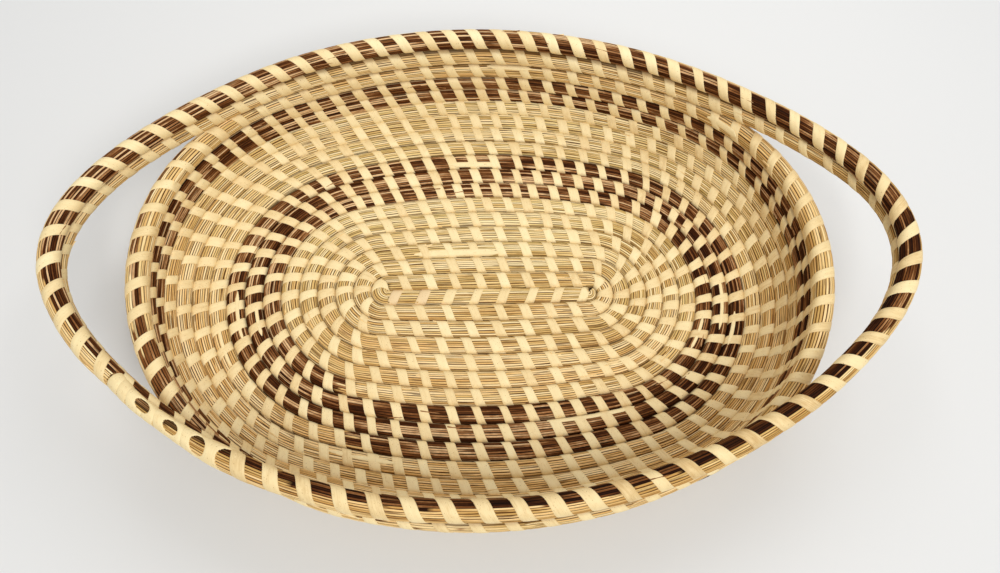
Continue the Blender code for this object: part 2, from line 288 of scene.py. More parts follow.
def sewStitches():
    # places along the coil: of the stitches of the row before, the one whose distance suits
    # best, or a part of the way to it where it is far, eased towards the wanted gap; the top
    # round's are evenly spaced and drawn together or apart by one share to end at the last turn
    places = [float(placeOf(coil["startTurn"])) + sewing["first"]]
    turns = [float(np.interp(places[0], line["place"], line["turn"]))]
    before, last = 0, float(placeOf(sewing["lastTurn"]))
    while places[-1] < last:
        gap = float(wantedGap(turns[-1]))
        while before < len(turns) and placeOf(turns[before] + 1) < places[-1] + gap / 2:
            before += 1
        choices = [turns[i] + 1 for i in range(before, min(before + sewing["tried"], len(turns)))]
        away = [float(placeOf(turn)) - places[-1] for turn in choices if turn < coil["tailEnd"]]
        best = min(away, key=lambda length: abs(math.log(length / gap)), default=gap)
        if turns[-1] > sewing["evenFrom"]:
            best = gap
        elif best > sewing["farthest"] * gap:
            best = best / max(round(best / gap), 2) if best < sewing["lost"] * gap else gap
        best = gap * (best / gap) ** sewing["followed"]
        places.append(places[-1] + best)
        turns.append(float(np.interp(places[-1], line["place"], line["turn"])))
    places, even = np.array(places), placeOf(sewing["evenFrom"])
    drawn = even + (places - even) * (last - even) / (places[-1] - even)
    places = np.where(places > even, drawn, places)
    places[:-1] += dice.uniform(-1, 1, len(places) - 1) * sewing["wander"]
    return places


stitchPlaces = sewStitches()
stitchNumbers = np.arange(len(stitchPlaces))
stitchGaps = np.gradient(stitchPlaces)
turnOfStitch = np.interp(stitchPlaces, line["place"], line["turn"])
print("stitches:", len(stitchPlaces))


def stitchPhase(place, angle):
    # how far round from the middle of the nearest stitch, from minus a half to a half
    loops = np.interp(place, stitchPlaces, stitchNumbers)
    phase = loops + (angle - math.pi / 2) / (2 * math.pi)
    return phase - np.round(phase)


def addMesh(name, grids, material, nodes=()):
    # closed tubes: every grid is rows by columns of points, its ends shut by one face each that
    # meets the tube in a sharp edge
    points, corners, starts, uvs, marks, rings, total, used = [], [], [], [], {}, [], 0, 0
    for grid in grids:
        rows, columns = grid["points"].shape[:2]
        points.append(grid["points"].reshape(-1, 3))
        index = total + np.arange(rows * columns).reshape(rows, columns)
        beside = np.roll(index, -1, axis=1)
        quads = np.stack([index[:-1], index[1:], beside[1:], beside[:-1]], axis=-1)
        corners += [quads.reshape(-1), index[0], index[-1][::-1]]
        sizes = [4] * quads[..., 0].size + [columns, columns]
        ring = np.zeros((rows, columns), dtype=int)
        ring[0], ring[-1] = 2 * len(rings) + 1, 2 * len(rings) + 2
        rings.append(ring.reshape(-1))
        starts.append(used + np.cumsum([0] + sizes[:-1]))
        uv = grid["uv"]
        quadUv = np.stack([uv[:-1, :-1], uv[1:, :-1], uv[1:, 1:], uv[:-1, 1:]], axis=2)
        uvs += [quadUv.reshape(-1, 2), uv[0, :-1], uv[-1, :-1][::-1]]
        for key, values in grid["marks"].items():
            values = np.broadcast_to(values, (rows, columns)).reshape(-1)
            marks.setdefault(key, []).append(values)
        total += rows * columns
        used += sum(sizes)
    mesh = bpy.data.meshes.new(name)
    corners, starts = np.concatenate(corners), np.concatenate(starts)
    mesh.vertices.add(total)
    mesh.vertices.foreach_set("co", np.concatenate(points).astype(np.float32).ravel())
    mesh.loops.add(len(corners))
    mesh.loops.foreach_set("vertex_index", corners.astype(np.int32))
    mesh.polygons.add(len(starts))
    mesh.polygons.foreach_set("loop_start", starts.astype(np.int32))
    mesh.update(calc_edges=True)
    edges = np.empty(2 * len(mesh.edges), dtype=np.int32)
    mesh.edges.foreach_get("vertices", edges)
    ring = np.concatenate(rings)[edges.reshape(-1, 2)]
    sharp = mesh.attributes.new("sharp_edge", "BOOLEAN", "EDGE")
    sharp.data.foreach_set("value", (ring[:, 0] == ring[:, 1]) & (ring[:, 0] > 0))
    layer = mesh.uv_layers.new(name="alongCoil")
    layer.data.foreach_set("uv", np.concatenate(uvs).astype(np.float32).ravel())
    for key, values in marks.items():
        attribute = mesh.attributes.new(key, "FLOAT", "POINT")
        attribute.data.foreach_set("value", np.concatenate(values).astype(np.float32))
    mesh.shade_smooth()
    mesh.validate()
    mesh.materials.append(material)
    piece = bpy.data.objects.new(name, mesh)
    bpy.context.scene.collection.objects.link(piece)
    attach(piece, "root")
    if nodes:
        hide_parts(*nodes)
    return piece


class Value:
    # a socket that takes part in sums: each operator adds a Math node
    def __init__(self, finish, socket):
        self.finish, self.socket = finish, socket

    def maths(self, operation, first, second):
        # one Math node on two values
        return self.finish.node("ShaderNodeMath", {"operation": operation}, {0: first, 1: second})

    def __add__(self, other):  # this and the other
        return self.maths("ADD", self, other)

    def __sub__(self, other):  # this less the other
        return self.maths("SUBTRACT", self, other)

    def __rsub__(self, other):  # the other less this
        return self.maths("SUBTRACT", other, self)

    def __mul__(self, other):  # this times the other
        return self.maths("MULTIPLY", self, other)

    __radd__ = __add__
    __rmul__ = __mul__


class Finish:
    # one material and its nodes
    grainRoughness = 0.6  # how much the finer parts of a noise count

    def __init__(self, name):
        self.material = bpy.data.materials.new(name)
        self.material.use_nodes = True
        self.tree = self.material.node_tree
        self.shader = self.tree.nodes["Principled BSDF"]

    def put(self, socket, value):
        # a link from another node's socket, or a plain value
        if isinstance(value, Value):
            self.tree.links.new(value.socket, socket)
        else:
            socket.default_value = value

    def node(self, kind, settings, sockets, out=0):
        # any node: its settings first, a ramp's stops among them, then its sockets
        made = self.tree.nodes.new(kind)
        for key, value in settings.items():
            if key == "stops":
                ramp = made.color_ramp.elements
                while len(ramp) < len(value):
                    ramp.new(1.0)
                for element, (place, colour) in zip(ramp, value):
                    element.position, element.color = place, (*colour, 1.0)
            else:
                setattr(made, key, value)
        for key, value in sockets.items():
            self.put(made.inputs[key], value)
        return Value(self, made.outputs[out])

    def mark(self, name):
        # a number stored on the piece's points
        return self.node("ShaderNodeAttribute", {"attribute_name": name}, {}, "Fac")

    def grain(self, along, across, detail):
        # noise drawn out along the coil or the strip
        uv = self.node("ShaderNodeUVMap", {"uv_map": "alongCoil"}, {})
        scaled = self.node("ShaderNodeMapping", {}, {"Vector": uv, "Scale": (along, across, 1.0)})
        sockets = {"Vector": scaled, "Scale": 1.0, "Detail": detail}
        sockets["Roughness"] = self.grainRoughness
        return self.node("ShaderNodeTexNoise", {"noise_dimensions": "2D"}, sockets, "Fac")

    def blend(self, share, first, second):
        # from the first colour to the second
        sockets = {"Factor": share, "A": first, "B": second}
        return self.node("ShaderNodeMix", {"data_type": "RGBA"}, sockets, "Result")

    def ramp(self, share, stops):
        # colours by a value from nought to one
        return self.node("ShaderNodeValToRGB", {"stops": stops}, {"Fac": share}, "Color")

    def bump(self, height, strength, distance):
        # small relief on the shader's normal
        sockets = {"Height": height, "Strength": strength, "Distance": distance}
        self.put(self.shader.inputs["Normal"], self.node("ShaderNodeBump", {}, sockets, "Normal"))

    def gloss(self, specular, roughness):
        # even specular level, and a roughness that may vary
        self.put(self.shader.inputs["Specular IOR Level"], specular)
        self.put(self.shader.inputs["Roughness"], roughness)

    def colour(self, value):
        # the surface's own colour
        self.put(self.shader.inputs["Base Color"], value)


def linear(red, green, blue):
    # a screen colour, from 0 to 255, as light
    share = np.array([red, green, blue]) / 255
    light = np.where(share <= 0.04045, share / 12.92, ((share + 0.055) / 1.055) ** 2.4)
    return tuple(float(x) for x in light)


def rgba(red, green, blue):
    # the same with full cover
    return (*linear(red, green, blue), 1.0)


# Dry grass in orange and green straw, pine needles from near black through red brown to pale
# streaks, partly their pale sheath and partly painted highlights; the line colours are painted
# shade
# between strands and also colour the dark splits, the crease colours painted shade between rows:
# a grain has its counts along and across and its detail, and colours stand at their shade from
# nought to one
bundleLook = {
    "fibre": (9.0, 90.0, 2.0), "fleck": (45.0, 26.0, 2.0), "split": (5.0, 70.0, 1.0),
    "splitEnds": (0.32, 0.37), "tone": 0.72, "fibreShare": 0.5, "fleckShare": 0.24, "less": 0.14,
    "grass": [(0.0, (200, 150, 84)), (0.3, (224, 179, 112)), (0.6, (243, 202, 138)),
              (1.0, (254, 227, 174))],
    "greenGrass": [(0.0, (192, 162, 94)), (0.3, (217, 190, 122)), (0.6, (238, 214, 150)),
                   (1.0, (252, 233, 182))],
    # the palest needle stops are partly the needles' pale sheath and partly painted highlights of
    # glints
    "pine": [(0.0, (38, 14, 2)), (0.28, (76, 38, 12)), (0.58, (124, 76, 38)),
             (0.78, (170, 120, 74)), (1.0, (232, 192, 142))],
    "valleyShadeDark": 2.0, "splitDark": 0.7, "shadeAndSplitCover": 0.9, "grassShadeAndSplit": (72, 32, 4),
    "greenShadeAndSplit": (94, 56, 12), "pineShadeAndSplit": (15, 5, 1), "grassCreaseShade": (76, 44, 14),
    "pineCreaseShade": (30, 12, 3), "creaseShadeCover": 0.88, "specular": 0.05, "roughness": 0.66,
    "needleShine": 0.12, "fibreRough": 0.1, "relief": 0.4, "reliefDepth": 0.12 * mm,
}

# Palmetto: pale, with veins along the strip and tiny specks
stripLook = {
    "vein": (2.2, 22.0, 3.0), "mottle": (7.0, 2.5, 2.0), "speck": (40.0, 14.0, 1.0),
    "speckEnds": (0.74, 0.78), "tone": 0.36, "veinShare": 0.42, "mottleShare": 0.4, "less": 0.12,
    "strip": [(0.0, (206, 170, 112)), (0.3, (236, 209, 154)), (0.65, (247, 226, 174)),
              (1.0, (253, 239, 198))],
    # the colour in the creases between rows is painted shade
    "rosy": (218, 180, 140), "specks": (176, 138, 92), "crease": (130, 90, 46),
    "creaseShadeCover": 0.52, "specular": 0.3, "roughness": 0.46, "mottleRough": 0.16, "relief": 0.4,
    "reliefDepth": 0.1 * mm,
}


def shades(stops):
    # a ramp's stops from screen colours
    return [(place, linear(*colour)) for place, colour in stops]


def edgeStops(places, before, after):
    # a ramp's stops from one grey to another between two places
    before, after = (before,) * 3, (after,) * 3
    return [(0.0, before), (places[0], before), (places[1], after), (1.0, after)]


def makeBundleFinish():
    # straw or needle by strand, painted shade in the valleys between strands along with dark
    # splits, and darkest painted shade in the creases between rows
    look, finish = bundleLook, Finish("coil_strands")
    tone, needle, green, line = (finish.mark(key) for key in ("tone", "needle", "green", "line"))
    crease = finish.mark("crease")
    fibre = finish.grain(*look["fibre"])
    fleck = finish.grain(*look["fleck"])
    split = finish.ramp(finish.grain(*look["split"]), edgeStops(look["splitEnds"], 1.0, 0.0))
    shade = tone * look["tone"] + fibre * look["fibreShare"] + fleck * look["fleckShare"]
    shade = shade - look["less"]
    grass = finish.ramp(shade, shades(look["grass"]))
    greenGrass = finish.ramp(shade, shades(look["greenGrass"]))
    pine = finish.ramp(shade, shades(look["pine"]))
    straw = finish.blend(green, grass, greenGrass)
    # painted shade in the valleys between strands, with the dark splits in the straw laid in the
    # same colours
    gap = (line * look["valleyShadeDark"] + split * look["splitDark"]) * look["shadeAndSplitCover"]
    strawShadeAndSplit = finish.blend(green, rgba(*look["grassShadeAndSplit"]), rgba(*look["greenShadeAndSplit"]))
    straw = finish.blend(gap, straw, strawShadeAndSplit)
    pine = finish.blend(gap, pine, rgba(*look["pineShadeAndSplit"]))
    sewn = finish.blend(needle, straw, pine)
    # colour of the painted shade in the creases between rows
    creaseShadeColour = finish.blend(needle, rgba(*look["grassCreaseShade"]), rgba(*look["pineCreaseShade"]))
    finish.colour(finish.blend(crease * look["creaseShadeCover"], sewn, creaseShadeColour))
    rough = look["roughness"] - needle * look["needleShine"] + fibre * look["fibreRough"]
    finish.gloss(look["specular"], rough)
    finish.bump(fibre, look["relief"], look["reliefDepth"])
    return finish.material


def makeStripFinish():
    # pale to paler by turn and vein, rosy where marked, specks over it, painted shade in the
    # creases between rows
    look, finish = stripLook, Finish("palmetto_strip")
    tone, rosy, crease = (finish.mark(key) for key in ("tone", "rosy", "crease"))
    vein = finish.grain(*look["vein"])
    mottle = finish.grain(*look["mottle"])
    dots = finish.ramp(finish.grain(*look["speck"]), edgeStops(look["speckEnds"], 0.0, 1.0))
    shade = tone * look["tone"] + vein * look["veinShare"] + mottle * look["mottleShare"]
    strip = finish.ramp(shade - look["less"], shades(look["strip"]))
    strip = finish.blend(rosy, strip, rgba(*look["rosy"]))
    strip = finish.blend(dots, strip, rgba(*look["specks"]))
    # painted shade in the creases between rows
    finish.colour(finish.blend(crease * look["creaseShadeCover"], strip, rgba(*look["crease"])))
    finish.gloss(look["specular"], look["roughness"] + mottle * look["mottleRough"])
    finish.bump(vein, look["relief"], look["reliefDepth"])
    return finish.material


strandFinish = makeBundleFinish()
stripFinish = makeStripFinish()

# Strands of grass and pine needles
bundle = {
    "strands": 24, "rimStrands": 28, "step": 2.9 * mm, "bend": math.radians(7.5),
    "shoulder": 0.29, "crest": 0.05 * mm, "valley": -0.34 * mm, "lift": 0.15 * mm,
    "sway": 0.08, "knot": 30 * mm, "pinch": 0.25 * mm, "pinchOver": 0.2, "uvLength": 0.1,
    "leastRows": 6, "floor": 0.25 * mm, "toneSpread": 1.6, "greenSpread": 0.5,
    # the least and the extra painted shade in the valleys between strands
    "valleyShadeLeast": 0.35, "valleyShadeMore": 0.9,
}
# Random values of every strand at every knot along the coil, with knots to spare at its end
knots = int(line["place"][-1] / bundle["knot"]) + 3
strandTable = {key: dice.random((knots, bundle["rimStrands"]))
               for key in ("tone", "lift", "sway", "swap", "line")}


def strandNoise(key, place, strands):
    # smooth run of each strand's own random values along the coil, rows by strands
    table = strandTable[key][:, :strands]
    at = place / bundle["knot"]
    first = np.clip(np.floor(at).astype(int), 0, knots - 2)
    share = smoothStep(at - first)[:, None]
    return table[first] * (1 - share) + table[first + 1] * share


# Pine needles in the bundle: whole bands, and on the rim a sector from one angle to another in
# degrees, by turn; every strand changes over at its own place, a little off in turns and degrees
needleBands = [(5.85, 8.83), (12.85, 14.9)]
needleRim = {
    "turns": [14.88, 14.9, 14.925, 14.94, 14.955, 14.972, 14.988, 15.006, 15.03, 15.09,
              15.56, 15.6, 15.66, 15.72, 15.76, 16.46, 16.52, 16.6, 16.64, 16.76,
              16.8, 16.84, 16.9, 16.97, 17.02, 17.08, 17.2, 17.3, 17.4, 17.48,
              17.54, 17.58, 17.62, 17.66, 17.72, 17.78, 17.8, 17.82, 17.84, 17.9],
    "from": [80, 80, 85, 115, 147, 150, 160, 175, 195, 210,
             262, 225, 200, 235, 262, 262, 150, 150, 262, 262,
             60, 50, 40, 40, 40, 40, 40, 40, 40, 40,
             40, 40, 40, 40, 40, 50, 95, 122, 105, 95],
    "to": [300, 240, 222, 212, 204, 202, 206, 213, 213, 210,
           262, 275, 285, 275, 262, 262, 215, 215, 262, 262,
           125, 140, 160, 185, 200, 232, 222, 200, 192, 208,
           216, 206, 190, 178, 173, 171, 185, 190, 168, 200],
    "paleFrom": 17.835, "pale": 0.86, "offTurns": 0.03, "offDegrees": 30,
}


def needleShare(turn, angle, jitter):
    # one where a strand lies in a needle band or inside the rim's sector, less near the end
    own = turn[:, None] + needleRim["offTurns"] * jitter
    share = np.zeros_like(angle)
    for first, last in needleBands:
        share = np.maximum(share, (own > first) & (own < last))
    degrees = np.degrees(np.mod(angle, 2 * math.pi)) + needleRim["offDegrees"] * jitter
    low = np.interp(own, needleRim["turns"], needleRim["from"])
    high = np.interp(own, needleRim["turns"], needleRim["to"])
    onRim = (own > needleRim["turns"][0]) & (degrees > low) & (degrees < high)
    dark = np.where(own > needleRim["paleFrom"], needleRim["pale"], 1.0)
    return np.maximum(share, onRim * dark)


# Where the grass is greener: by turn, towards the back of the body, and in slow waves
greenParts = {
    "turns": [0.0, 5.8, 9.0, 12.0, 16.0, 18.0], "base": [0.42, 0.42, 0.25, 0.2, 0.25, 0.2],
    "back": 0.36, "backOver": 60 * mm, "bodyTo": 13, "wave": 0.12, "waveLengths": (0.19, 0.071),
    "waveLag": 1.0,
}


def greenShare(turn, place):
    # base share by turn, more towards the back, more or less by two waves multiplied
    slow, quick = greenParts["waveLengths"]
    lengthwise = np.sin(place / slow) * np.sin(place / quick + greenParts["waveLag"])
    back = np.clip(onLine(place, "point")[:, 1] / greenParts["backOver"], -1.0, 1.0)
    share = np.interp(turn, greenParts["turns"], greenParts["base"])
    share = share + greenParts["back"] * back * (turn < greenParts["bodyTo"])
    return np.clip(share + greenParts["wave"] * lengthwise, 0.0, 1.0)


# Painted light and shade as a shift of the tone over the basket, with browner straw on the front
# of the top round, and the lengths in metres or turns that it takes
paintedLightAndStrawShift = {
    "back": 0.14, "backOver": 0.1, "right": 0.28, "rightOver": 0.15, "front": 0.42,
    "frontFrom": 17.58, "frontOver": 0.08,
}


def toneWithPaintedLightAndStraw(tone, place, turn):
    # painted light paler towards the back, painted shade darker towards the right end, and darker
    # on the front of the top round, partly browner straw and partly painted shade
    point = onLine(place, "point")
    right = np.clip(point[:, 0] / paintedLightAndStrawShift["rightOver"], 0, 1)
    back = np.clip(point[:, 1] / paintedLightAndStrawShift["backOver"], 0, 1)
    front = smoothStep((turn - paintedLightAndStrawShift["frontFrom"]) / paintedLightAndStrawShift["frontOver"])
    shift = paintedLightAndStrawShift["back"] * back - paintedLightAndStrawShift["right"] * right - paintedLightAndStrawShift["front"] * front
    return tone + shift[:, None]


def rowPlaces(first, last):
    # places along the coil, a step or a few degrees of bend apart, whichever comes first
    effort = np.diff(line["place"], prepend=0.0) / bundle["step"] + turning / bundle["bend"]
    effort = np.cumsum(effort)
    start, end = np.interp([first, last], line["place"], effort)
    rows = np.linspace(start, end, max(int(end - start) + 1, bundle["leastRows"]))
    return np.interp(rows, effort, line["place"])


def makeBundle(name, firstTurn, lastTurn):
    # strands side by side round the coil, each with two shoulders and a valley beside it, that
    # sway, rise and fall along the coil and are squeezed under the stitches
    place = rowPlaces(placeOf(firstTurn), placeOf(lastTurn))
    turn = onLine(place, "turn")
    strands = bundle["rimStrands"] if firstTurn >= coil["rimTurn"] else bundle["strands"]
    pitch = 2 * math.pi / strands
    noise = {key: strandNoise(key, place, strands) for key in strandTable}
    own = np.arange(strands) * pitch + (noise["sway"] - 0.5) * 2 * bundle["sway"]
    following = np.concatenate([own[:, 1:], own[:, :1] + 2 * math.pi], axis=1)
    half = bundle["shoulder"] * (following - own)
    before = np.concatenate([half[:, -1:], half[:, :-1]], axis=1)
    angle = np.stack([own - before, own + half, (own + following) / 2], axis=2)
    lift = noise["lift"] * bundle["lift"] + bundle["crest"]
    between = (lift + np.roll(lift, -1, axis=1)) / 2 - bundle["crest"] + bundle["valley"]
    height = np.stack([lift, lift, between], axis=2)
    angle, height = angle.reshape(len(place), -1), height.reshape(len(place), -1)
    places = np.broadcast_to(place[:, None], angle.shape)
    fromStitch = stitchPhase(places, angle) / bundle["pinchOver"]
    height = height - bundle["pinch"] * np.exp(-fromStitch ** 2)
    tone = np.clip((noise["tone"] - 0.5) * bundle["toneSpread"] + 0.5, 0, 1)
    # the strands' tone carries painted light at the back and painted shade at the right end and
    # front
    tone = toneWithPaintedLightAndStraw(tone, place, turn)
    needle = needleShare(turn, own, noise["swap"] - 0.5)
    green = greenShare(turn, place)[:, None] + bundle["greenSpread"] * (noise["swap"] - 0.5)
    green = np.clip(green, 0, 1)
    marks = {"tone": tone, "needle": needle, "green": green, "line": np.zeros_like(tone)}
    marks = {key: np.repeat(values, 3, axis=1) for key, values in marks.items()}
    # painted shade in the valley beside each strand, stronger or weaker by strand
    dark = bundle["valleyShadeLeast"] + bundle["valleyShadeMore"] * noise["line"]
    marks["line"][:, 2::3] = np.clip(dark, 0, 1)
    # painted shade in the crease where this row lies close to the next
    marks["crease"] = creaseShadeShare(places, angle)
    across = np.arange(angle.shape[1] + 1) / angle.shape[1]
    uv = np.broadcast_arrays(place[:, None] / bundle["uvLength"], across[None, :])
    grid = {"points": onCoil(places, angle, height, bundle["floor"]),
            "uv": np.stack(uv, axis=-1), "marks": marks}
    return addMesh(name + "_strands", [grid], strandFinish, [name])


# The palmetto strip as it winds on, one turn a stitch, with a crowned profile across it: over
# is its height over the bundle in millimetres, at the shares across of half its width
strip = {
    "steps": 24, "turns": [0.0, 8.0, 15.0, 16.8, 17.0, 17.15, 17.5, 17.62],
    "wide": [4.3, 4.2, 4.4, 4.5, 4.8, 4.6, 4.9, 5.2],
    "spread": 0.08, "across": [-1.0, -0.9, -0.35, 0.35, 0.9, 1.0, 0.6, -0.6],
    "over": [0.05, 0.2, 0.27, 0.27, 0.2, 0.05, -0.3, -0.3],
    "steeperInside": [0.25, 0.25, 0.1, 0.0, 0.0, 0.0, 0.0, 0.0],
    "flatterOnTop": [0.0, 0.0, 0.0, 0.0, 0.05, 0.42, 0.36, -0.05],
    "rosyTurns": (-0.21, -0.15), "rosy": 0.45, "uvPerTurn": 0.9, "toneFrom": 0.75,
}
stripTone = dice.random(len(stitchPlaces) + 2)
stripWidth = 1 + dice.normal(0.0, strip["spread"], len(stitchPlaces) + 2)


def bandGrid(place, angle, width, lengthwise, marks, lift=0.0):
    # profile carried along a band's middle line, its width square to the line as it is unrolled
    reach = onLine(place, "radius")
    slope = unit(np.stack([np.gradient(place), np.gradient(angle) * reach], axis=-1))
    across = np.array(strip["across"])[None, :] * np.atleast_1d(width)[:, None] / 2
    places = np.clip(place[:, None] - slope[:, 1:2] * across, 0.0, line["place"][-1])
    angles = angle[:, None] + slope[:, 0:1] * across / reach[:, None]
    height = np.array(strip["over"]) * mm + np.atleast_1d(lift)[:, None]
    height = np.broadcast_to(height, places.shape)
    side = np.concatenate([(np.array(strip["across"]) + 1) / 2, [0.0]])
    uv = np.stack(np.broadcast_arrays(lengthwise[:, None], side[None, :]), axis=-1)
    # painted shade where the band runs into the crease between rows
    marks = {**marks, "crease": creaseShadeShare(places, angles)}
    return {"points": onCoil(places, angles, height), "uv": uv, "marks": marks}


def makeStrip(first, last, way=-1.0):
    # stitches first to last as one winding strip: a whole turn of angle for every stitch,
    # eased along the coil so that it stands steeper or flatter on one side of the coil
    steps = int(round((last - first + 1) * strip["steps"])) + 1
    loop = np.linspace(first - 0.5, last + 0.5, steps)
    gap = np.interp(loop, stitchNumbers, stitchGaps)
    place = np.interp(loop, stitchNumbers, stitchPlaces)
    place = place + (np.minimum(loop, 0) + np.maximum(loop - stitchNumbers[-1], 0)) * gap
    turn = onLine(place, "turn")
    steeper = np.interp(turn, strip["turns"], strip["steeperInside"])
    flatter = np.interp(turn, strip["turns"], strip["flatterOnTop"])
    wave = flatter * np.sin(2 * math.pi * (loop + 0.25)) - steeper * np.sin(2 * math.pi * loop)
    place = place + gap * wave / (2 * math.pi)
    width = np.interp(turn, strip["turns"], strip["wide"]) * mm
    width = width * np.interp(loop, np.arange(-1, len(stripWidth) - 1), stripWidth)
    number = np.floor(loop + strip["toneFrom"]).astype(int)
    tone = stripTone[np.clip(number, 0, len(stripTone) - 1)]
    rosy = strip["rosy"] * ((turn > strip["rosyTurns"][0]) & (turn < strip["rosyTurns"][1]))
    # the stitches' tone carries painted light at the back and painted shade at the right end and
    # front
    marks = {"tone": toneWithPaintedLightAndStraw(tone[:, None], place, turn), "rosy": rosy[:, None]}
    angle = math.pi / 2 + way * 2 * math.pi * loop
    return bandGrid(place, angle, width, loop * strip["uvPerTurn"], marks)


# The lengths of the coil: name, from turn to turn, slot
lengths = [
    ("base_sweetgrass_coil", coil["startTurn"], 5.85, "green_sweetgrass"),
    ("lower_pine_band", 5.85, 8.85, "pine_needle"),
    ("wall_sweetgrass_coil", 8.85, 12.85, "sweetgrass"),
    ("upper_pine_band", 12.85, 14.98, "pine_needle"),
    ("body_rim_coil", 14.98, 15.85, "sweetgrass"),
    ("left_lower_handle_coil", 15.85, 16.15, "sweetgrass"),
    ("back_lower_rim_coil", 16.15, 16.40, "sweetgrass"),
    ("right_lower_handle_coil", 16.40, 16.62, "sweetgrass"),
    ("front_lower_rim_coil", 16.62, 16.85, "sweetgrass"),
    ("left_handle_coil", 16.85, 17.15, "rim_bundle"),
    ("back_rim_coil", 17.15, 17.40, "rim_bundle"),
    ("right_handle_coil", 17.40, 17.62, "rim_bundle"),
    ("front_rim_coil", 17.62, 17.82, "rim_bundle"),
    ("palmetto_wrapped_tail", 17.82, coil["wrapEnd"], "palmetto"),
]
firstWay = 0.03  # the strip changes its slope where the start row ends
for name, firstTurn, lastTurn, slot in lengths:
    makeBundle(name, firstTurn, lastTurn)
    held = stitchNumbers[(turnOfStitch >= firstTurn) & (turnOfStitch < lastTurn)]
    if not len(held):
        continue
    print("sewing:", name, len(held))
    grids = []
    if firstTurn < firstWay:
        early = held[turnOfStitch[held] < firstWay]
        held = held[turnOfStitch[held] >= firstWay]
        grids.append(makeStrip(early[0], early[-1], way=1.0))
    grids.append(makeStrip(held[0], held[-1]))
    addMesh(name + "_stitches", grids, stripFinish)


# The wrap of the tail: overlapping turns of the strip that leave eyes open between them, each
# eye half as long in millimetres, open to both sides of its angle in degrees
tailWrap = {
    "eyes": [17.8356, 17.8460, 17.8603, 17.8764], "halfLong": [3.5, 3.3, 3.3, 3.5],
    "eyeAngle": [196.0, 182.0, 176.0, 166.0], "eyeOpen": [88.0, 54.0, 42.0, 42.0],
    "turns": [1, 2, 2, 3], "overlap": 1.2 * mm, "lean": 1.4 * mm, "steps": 64,
    "lastTo": 0.5 * mm, "across": [0.0, 0.06, 0.22, 0.5, 0.78, 0.94, 1.0],
    "over": [-0.12, 0.12, 0.24, 0.28, 0.24, 0.12, -0.12], "under": -0.35 * mm,
    "least": 1 * mm, "uv": (1.2, 2.0), "uvApart": 1.7, "tones": [0.45, 0.6, 0.75],
}


def wrapBand(number, low, high, angle):
    # a band closed on itself round the tail, from its low edge to its high edge
    share = np.array(tailWrap["across"])[None, :]
    places = np.clip(low[:, None] * (1 - share) + high[:, None] * share, 0.0, line["place"][-1])
    angles = np.broadcast_to(angle[:, None], places.shape)
    over = np.broadcast_to(np.array(tailWrap["over"]) * mm, places.shape)
    under = np.full(places.shape, tailWrap["under"])
    points = [onCoil(places, angles, over), onCoil(places[:, ::-1], angles, under)]
    points = np.concatenate(points, axis=1)
    points = np.concatenate([points, points[:1]], axis=0)
    along = np.linspace(0.0, tailWrap["uv"][0], len(points)) + number * tailWrap["uvApart"]
    across = np.linspace(0.0, tailWrap["uv"][1], points.shape[1] + 1)
    uv = np.stack(np.broadcast_arrays(along[:, None], across[None, :]), axis=-1)
    tones = tailWrap["tones"]
    marks = {"tone": tones[number % len(tones)], "rosy": 0.0, "crease": 0.0}
    marks = {key: np.array([[value]]) for key, value in marks.items()}
    return {"points": points, "uv": uv, "marks": marks}


def wrapTail():
    # after each eye come some turns of the strip, the next one always a little over the last;
    # the edges beside an eye bow away from its middle by half an ellipse each
    eyes = placeOf(np.array(tailWrap["eyes"]))
    half = np.array(tailWrap["halfLong"]) * mm
    angle = -np.linspace(0.0, 2 * math.pi, tailWrap["steps"], endpoint=False)
    degrees = np.degrees(np.mod(angle, 2 * math.pi))
    fromEye = degrees[None, :] - np.array(tailWrap["eyeAngle"])[:, None]
    inEye = 1 - (fromEye / np.array(tailWrap["eyeOpen"])[:, None]) ** 2
    bow = half[:, None] * np.sqrt(np.clip(inEye, 0.0, 1.0))
    leaning = -tailWrap["lean"] * np.sin(np.radians(fromEye))
    low = eyes[:, None] + leaning + bow - tailWrap["overlap"] * (bow == 0)
    low[0] += bow[0] - half[0]
    last = np.full_like(low[:1], line["place"][-1] - tailWrap["lastTo"])
    ends = np.concatenate([eyes[1:, None] + leaning[1:] - bow[1:], last])
    grids = []
    for number, eye in enumerate(eyes):
        turns = tailWrap["turns"][number] + 1
        level = np.linspace(eye + half[number], ends[number].mean(), turns)
        start = low[number]
        for high in level[1:-1]:
            far = high + leaning[number]
            near = np.minimum(start, far - tailWrap["least"])
            grids.append(wrapBand(len(grids), near, far, angle))
            start = far - tailWrap["overlap"] / 2
        near = np.minimum(start, ends[number] - tailWrap["least"])
        grids.append(wrapBand(len(grids), near, ends[number], angle))
    return grids


addMesh("tail_wrap", wrapTail(), stripFinish)
print("tail wrapped")


# Ends of spliced strips that lie along the rows: from turn to turn, the angle in degrees, the
# width and how far each end stands off in millimetres
splices = [
    (2.185, 2.262, 58, 3.4, 0.0, 0.3), (8.228, 8.262, 57, 2.4, 0.2, 0.0),
    (15.254, 15.275, 142, 2.4, 0.0, 0.5), (6.952, 6.985, 72, 1.5, 0.2, 0.0),
    (7.952, 8.0, 74, 1.6, 0.0, 0.3), (8.935, 8.975, 95, 1.5, 0.2, 0.0),
    (7.488, 7.54, 96, 1.6, 0.0, 0.2), (6.53, 6.57, 80, 1.4, 0.2, 0.0),
    (8.52, 8.552, 66, 1.6, 0.0, 0.3), (7.655, 7.712, 50, 2.2, 0.0, 0.2),
    (9.798, 9.835, 78, 2.0, 0.2, 0.0), (15.370, 15.396, 112, 3.2, 0.0, 1.4),
    (15.055, 15.078, 126, 0.8, 1.6, 0.0), (17.790, 17.801, 284, 1.0, 1.2, 0.0),
]
spliceTone, spliceTurned = 0.8, 3

